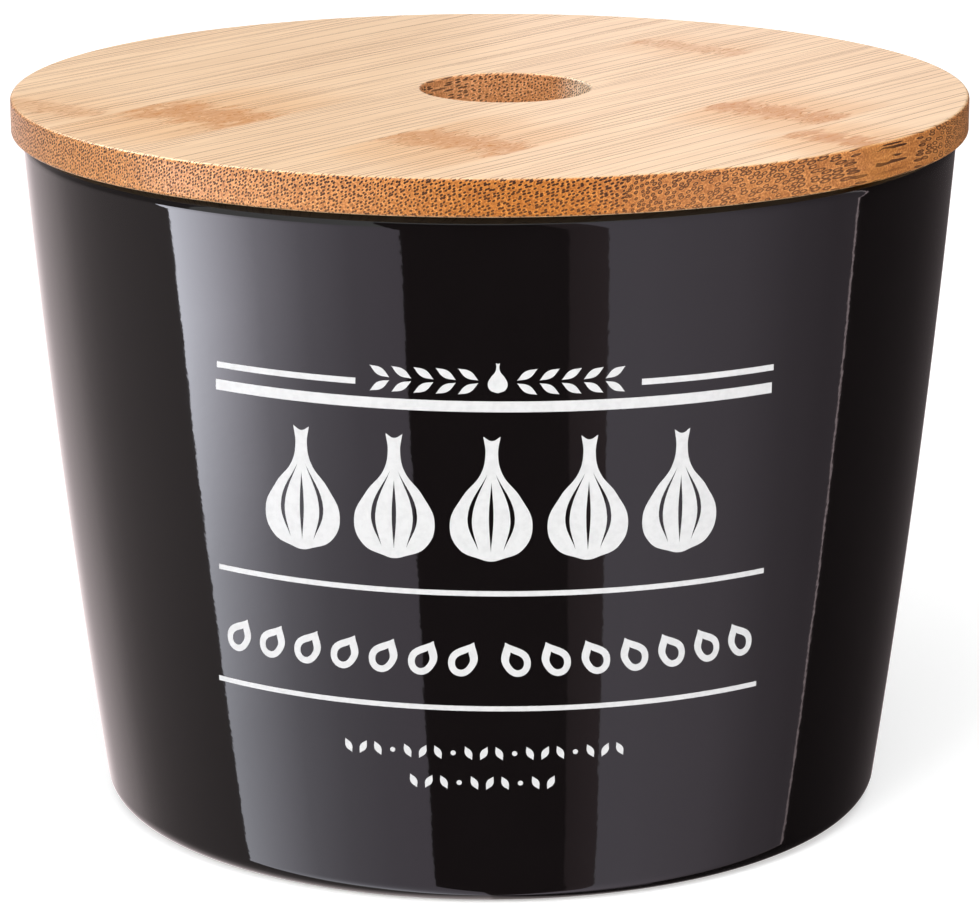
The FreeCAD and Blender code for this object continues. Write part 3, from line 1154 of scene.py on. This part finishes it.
def bamboo_board(name, low, high, turn):
    """Oiled bamboo between two heights, its grain turned."""
    material, tree, out = new_material(name)
    wood = put_group(tree, bamboo, Turn=turn, Low=low, High=high)
    roughness = ramp(tree, wood["Bundles"], 0.0, 1.0, WOOD_ROUGHNESS, FIBRE_ROUGHNESS)
    lay_shader(
        tree,
        out,
        "ShaderNodeBsdfPrincipled",
        [
            ("Base Color", wood["Colour"]),
            ("Roughness", roughness),
            ("Normal", bumped(tree, wood["Relief"], 0.5, WOOD_RELIEF)),
            ("IOR", 1.5),
            ("Specular IOR Level", 0.38),
        ],
    )
    return material


dress(bamboo_board("oiled_bamboo_board", BOARD_LOW, BOARD_HIGH, 0.0), board)
dress(bamboo_board("oiled_bamboo_plug", PLUG_LOW, BOARD_LOW, QUARTER_TURN), plug)

# %% [markdown]
# ## Silicone
#
# Food silicone is milky: light goes in a little way and comes out softened. A small amount of
# subsurface light, a satin roughness and a faint dusty variation are enough for so thin a ring.

# %% The silicone material
MILK_DULL = (0.72, 0.73, 0.72, 1.0)
MILK = (0.80, 0.81, 0.80, 1.0)
DUST_RELIEF = 0.00005

rubber, tree, out = new_material("milky_silicone")
dust = cloud(tree, stretched(tree, millimetres(tree), (1.4, 1.4, 1.4)), 4.0, 0.6)
lay_shader(
    tree,
    out,
    "ShaderNodeBsdfPrincipled",
    [
        ("Base Color", blend(tree, ramp(tree, dust, 0.3, 0.7), MILK_DULL, MILK)),
        ("Roughness", ramp(tree, dust, 0.3, 0.7, 0.50, 0.38)),
        ("Normal", bumped(tree, dust, 0.3, DUST_RELIEF)),
        ("IOR", 1.41),
        ("Subsurface Weight", 0.35),
        ("Subsurface Scale", 0.002),
    ],
)
dress(rubber, seal)

# %% [markdown]
# ## The table
#
# The keeper stands on a wide table of pale grey. To the camera alone the table also glows a
# little, and more so far away, so that it looks like white paper that keeps the pot's soft
# shadow.

# %% A pale floor
FLOOR_REACH = 6.0
FLOOR_GREY = (0.82, 0.82, 0.82, 1.0)
FLOOR_LIFT = 0.44

floor_mesh = bmesh.new()
bmesh.ops.create_grid(floor_mesh, x_segments=2, y_segments=2, size=FLOOR_REACH)
floor = mesh_object("table_top", floor_mesh)
floor.visible_glossy = False

paper, tree, out = new_material("white_table")
seen = add(tree, "ShaderNodeLightPath").outputs["Is Camera Ray"]
away = distance(tree, add(tree, "ShaderNodeTexCoord").outputs["Object"])
lift = product(tree, seen, ramp(tree, away, 0.2, 1.6, FLOOR_LIFT, 1.0))
lay_shader(
    tree,
    out,
    "ShaderNodeBsdfPrincipled",
    [
        ("Base Color", FLOOR_GREY),
        ("Roughness", 0.9),
        ("Specular IOR Level", 0.0),
        ("Emission Color", (1.0, 1.0, 1.0, 1.0)),
        ("Emission Strength", lift),
    ],
)
dress(paper, floor)

# %% [markdown]
# ## What the glaze mirrors
#
# A glossy black pot shows little but what stands around it. A bright softbox stands on its left,
# a pale panel on its right, and dark boards in front of it and behind its right shoulder. A pale
# wall closes the round behind the left, and a high window there gives the lid's face its sheen.
# Lamps could make the same highlights, but they would light the wood as well. So each is a curved
# card about one metre from the pot that only reflections can see, and shapes the highlights
# without changing the plain light. Where a highlight on the tapering pot slants, the card leans,
# with its lower edge further to the right. All but the window reach far down and then turn
# inwards, because the lower wall mirrors what is below the table's height.

# %% Brightness along a card
def brightness(tree, share, steps):
    """Brightness along a card: straight between the given (share, brightness) points."""
    result = steps[0][1]
    for (from_share, from_value), (to_share, to_value) in zip(steps, steps[1:]):
        links = (
            ("Value", share),
            ("From Min", from_share),
            ("From Max", to_share),
            ("To Min", 0.0),
            ("To Max", to_value - from_value),
        )
        rise = add(tree, "ShaderNodeMapRange", links).outputs["Result"]
        result = sums(tree, "ADD", result, rise)
    return result


# %% The sheet of a card
CARD_DISTANCE = 1.0
CARD_ROWS = 8
CARD_TOP = 0.6
UNDER = -2.2
FOLD_IN = 0.03
LEAN = 9.1
LEAN_FROM = -0.345


def lean_at(height, leans):
    """How many degrees to the right a leaning card's edge has moved, at a height in metres."""
    return LEAN * (LEAN_FROM - height) if leans else 0.0


def card_sheet(start, end, low, high, leans, nearer):
    """A curved sheet. Its UV map holds the share of the way across, and the height in metres."""
    mesh = bmesh.new()
    reach = CARD_DISTANCE - nearer
    heights = [low + (high - low) * row / CARD_ROWS for row in range(CARD_ROWS + 1)]
    line = [mesh.verts.new((0.0, -reach, height)) for height in heights]
    if low == UNDER:
        line.insert(0, mesh.verts.new((0.0, -FOLD_IN * reach, low)))
    edges = [mesh.edges.new(pair) for pair in zip(line, line[1:])]
    for vert in line:
        turn = Matrix.Rotation(math.radians(start + lean_at(vert.co.z, leans)), 3, "Z")
        bmesh.ops.rotate(mesh, verts=[vert], cent=CENTRE, matrix=turn)
    bmesh.ops.spin(
        mesh,
        geom=[*line, *edges],
        cent=CENTRE,
        axis=(0.0, 0.0, 1.0),
        dvec=(0.0, 0.0, 0.0),
        angle=math.radians(end - start),
        steps=max(8, int(end - start)),
    )
    layer = mesh.loops.layers.uv.new("card")
    for face in mesh.faces:
        for loop in face.loops:
            x, y, z = loop.vert.co
            turn = math.degrees(math.atan2(x, -y)) - lean_at(z, leans)
            if turn < start - 1.0:
                turn += 360.0
            if turn > end + 1.0:
                turn -= 360.0
            loop[layer].uv = ((turn - start) / (end - start), z)
    return mesh


# %% Hanging a card where only reflections see it
def hang(name, mesh):
    """Puts a card in the scene where only reflections see it, and returns its tree and output."""
    piece = mesh_object(name, mesh)
    for ray in ("camera", "diffuse", "transmission", "volume_scatter", "shadow"):
        setattr(piece, "visible_" + ray, False)
    material, tree, out = new_material(name)
    piece.data.materials.append(material)
    return tree, out


def card(name, start, end, tints, across_steps, up_steps=((0.0, 1.0),), low=UNDER,
         high=CARD_TOP, even=0.0, leans=False, nearer=0.0):
    """A glowing curved card between two directions, in degrees from the front towards the right.

    The tints are at its start and end. The across_steps are brightness against the share of the
    way across, the up_steps are brightness against height in metres, and the two are multiplied.
    Then even is added all over it. A card that is nearer covers its neighbour's edge.
    """
    tree, out = hang(name, card_sheet(start, end, low, high, leans, nearer))
    uv = add(tree, "ShaderNodeUVMap", uv_map="card").outputs[0]
    shares = axes_of(tree, uv)
    across_glow = brightness(tree, shares["X"], across_steps)
    up_glow = brightness(tree, shares["Y"], up_steps)
    strength = sums(tree, "MULTIPLY_ADD", across_glow, up_glow, even)
    tint = blend(tree, shares["X"], *((*colour, 1.0) for colour in tints))
    lay_shader(tree, out, "ShaderNodeEmission", [("Color", tint), ("Strength", strength)])
    print("card", name, "from", start, "to", end, "degrees")


# %% The cards, from behind on the left round to behind on the right
WALL_TINT = (1.0, 0.87, 0.88)
WINDOW_TINT = (1.0, 0.98, 0.96)
BOARD_TINT = (1.0, 0.75, 0.80)

card(
    "wall_behind_left", -180.0, -74.0, (WALL_TINT, WALL_TINT),
    ((0.0, 1.3), (0.14, 1.27), (0.23, 1.09), (0.29, 0.94), (0.39, 0.92), (0.46, 0.86),
     (0.54, 0.64), (0.61, 0.53), (0.69, 0.48), (1.0, 0.47)),
    ((-0.9, 0.75), (-0.525, 0.85), (-0.36, 1.0), (0.0, 1.0), (0.12, 0.5)),
)
card(
    "softbox_left", -80.5, -20.0, ((1.0, 1.01, 1.12), (1.0, 0.88, 1.04)),
    ((0.0, 8.4), (0.2, 5.4), (0.4, 2.3), (0.6, 0.8), (0.8, 0.15), (1.0, 0.0)),
    ((-0.9, 0.25), (-0.49, 0.35), (-0.396, 0.5), (-0.254, 1.0)),
    high=0.05, even=1.1, leans=True, nearer=0.03,
)
card(
    "window_above_left", -150.0, -50.0, (WINDOW_TINT, WINDOW_TINT),
    ((0.0, 0.0), (0.2, 12.0), (0.8, 12.0), (1.0, 0.0)),
    low=0.7, high=2.6,
)
card(
    "board_front", -20.0, 29.0, (BOARD_TINT, BOARD_TINT),
    ((0.0, 0.10), (0.8, 0.10), (0.81, 0.30), (1.0, 0.42)),
    leans=True, nearer=0.02,
)
card(
    "panel_right", 29.0, 103.0, ((1.0, 0.91, 1.06), (1.0, 0.84, 0.96)),
    ((0.0, 1.22), (0.14, 1.2), (0.28, 1.1), (0.46, 0.95), (0.55, 0.80), (0.69, 0.56),
     (0.86, 0.38), (1.0, 0.35)),
    leans=True,
)
card(
    "board_behind_right", 98.5, 180.0, ((1.0, 0.80, 0.83), WALL_TINT),
    ((0.0, 2.4), (0.0066, 2.4), (0.01, 0.06), (0.414, 0.07), (0.80, 0.12), (0.86, 0.95),
     (1.0, 1.3)),
    ((-0.63, 0.45), (-0.345, 1.0)),
    nearer=0.03,
)

# %% [markdown]
# ## Lamps and the world
#
# The plain light is soft: a large lamp overhead, a softer one from the left front, a weak one
# from the right, and an even grey sky. Their level is such that a colour on the front of the pot
# renders about as it is written. The world is white for the camera and for reflections.

# %% Lamps
LAMPS_AIM = Vector((0.0, 0.0, 0.05))


def soft_lamp(name, place, size, power):
    """A square soft lamp that looks at the pot and stays out of its reflections."""
    light = bpy.data.lights.new(name, "AREA")
    light.shape = "SQUARE"
    light.size = size
    light.energy = power
    lamp = new_object(name, light)
    lamp.location = place
    lamp.rotation_euler = (LAMPS_AIM - Vector(place)).to_track_quat("-Z", "Y").to_euler()
    lamp.visible_glossy = False
    lamp.visible_camera = False
    print("lamp", name, "of", power, "watts")


soft_lamp("overhead", (0.12, -0.70, 1.42), 1.3, 15.0)
soft_lamp("left_front", (-0.80, -1.15, 1.05), 0.9, 15.0)
soft_lamp("right_fill", (1.3, -0.9, 0.6), 0.9, 6.0)

# %% World
SKY_GREY = (0.32, 0.32, 0.32, 1.0)
SKY_WHITE = (1.0, 1.0, 1.0, 1.0)

world = bpy.data.worlds.new("white_room")
bpy.context.scene.world = world
world.use_nodes = True
tree = world.node_tree
tree.nodes.clear()
rays = add(tree, "ShaderNodeLightPath").outputs
shown = sums(tree, "MAXIMUM", rays["Is Camera Ray"], rays["Is Glossy Ray"])
shown = sums(tree, "MAXIMUM", shown, rays["Is Transmission Ray"])
sky = [("Color", blend(tree, shown, SKY_GREY, SKY_WHITE)), ("Strength", 1.0)]
lay_shader(tree, add(tree, "ShaderNodeOutputWorld"), "ShaderNodeBackground", sky)
print("the sky lights the pot at", SKY_GREY[0])

# %% [markdown]
# ## The camera
#
# The camera looks slightly down at the front of the pot through a long lens, from a little over
# 60 cm.

# %% Camera
CAMERA_PLACE = (0.0, -0.624339, 0.214028)
LOOK_DOWN = 0.258094
LOOK_ASIDE = 0.00009
CAMERA_ROLL = -0.00179
LENS = 158.067
SENSOR = 36.0

lens = bpy.data.cameras.new("camera")
lens.lens = LENS
lens.sensor_width = SENSOR
lens.sensor_fit = "HORIZONTAL"
lens.clip_start = 0.01
lens.clip_end = 50.0
camera = new_object("camera", lens)
aside = Matrix.Rotation(LOOK_ASIDE, 4, "Z")
down = Matrix.Rotation(math.pi / 2.0 - LOOK_DOWN, 4, "X")
roll = Matrix.Rotation(CAMERA_ROLL, 4, "Z")
camera.matrix_world = Matrix.Translation(CAMERA_PLACE) @ aside @ down @ roll
bpy.context.scene.camera = camera
bpy.context.scene.view_settings.view_transform = "Standard"
print("the camera looks down by", round(math.degrees(LOOK_DOWN), 1), "degrees")

# %% Update the scene
bpy.context.view_layer.update()
